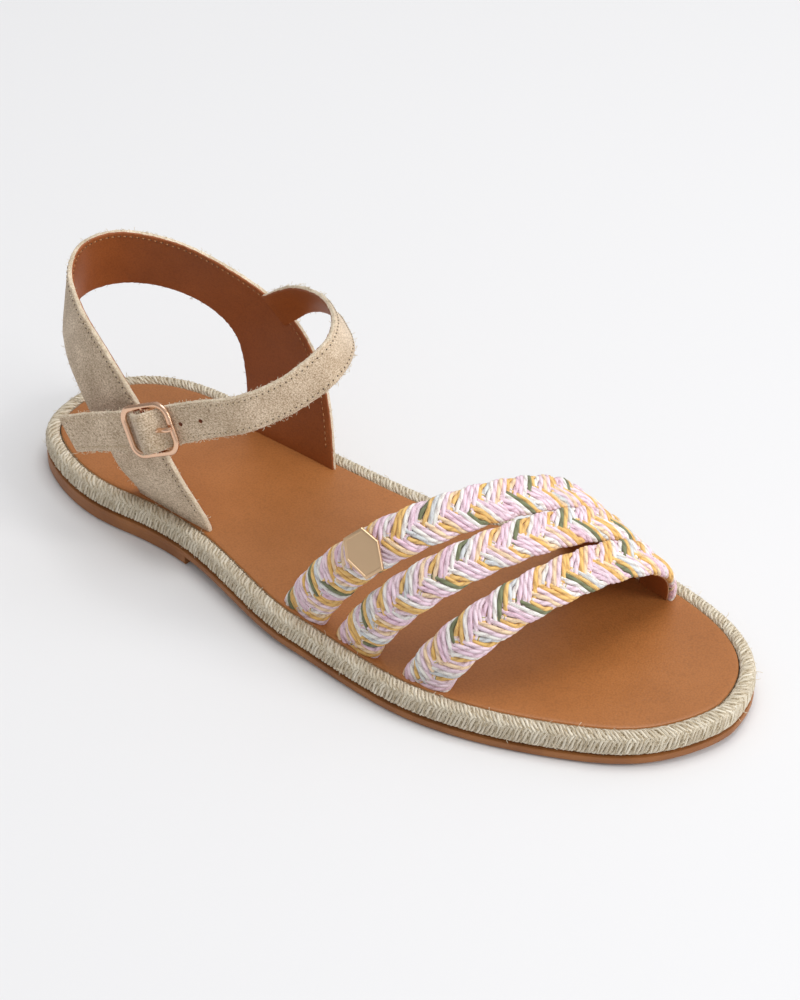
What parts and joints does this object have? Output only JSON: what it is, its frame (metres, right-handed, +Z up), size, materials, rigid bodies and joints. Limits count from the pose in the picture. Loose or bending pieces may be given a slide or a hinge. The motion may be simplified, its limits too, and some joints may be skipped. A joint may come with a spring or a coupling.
{
  "type": "rope sandal",
  "caption": "Flat sandal for the right foot: rope-edged sole, plaited cord straps over the toes, suede heel sling and a buckled ankle strap.",
  "frame": {"origin": "below the middle of the sandal's box, on the floor it stands on", "axes": "+X from the heel to the toe, +Y to the medial side of the foot, +Z up from the floor"},
  "size_m": [0.25, 0.093, 0.0847],
  "materials": {
    "outsole_rubber": "tan, satin",
    "jute_rope": "natural plaited jute, matte",
    "tan_leather": "fine pebble grain, semi-matte",
    "cotton_plait": "plaited cords in pale pink, mustard, grey-blue and cream, matte",
    "sand_suede": "suede nap, matte",
    "pale_brass": "polished, rose gold tone"
  },
  "bodies": {
    "root": {"outsole": "outsole_rubber", "rope_rand": "jute_rope", "footbed": "tan_leather", "vamp_strap_rear": "cotton_plait", "vamp_strap_middle": "cotton_plait", "vamp_strap_front": "cotton_plait", "heel_sling": "sand_suede", "ankle_strap": "sand_suede", "buckle_tab": "sand_suede", "buckle_frame": "pale_brass", "buckle_prong": "pale_brass", "badge_plate": "pale_brass"}
  },
  "joints": []
}
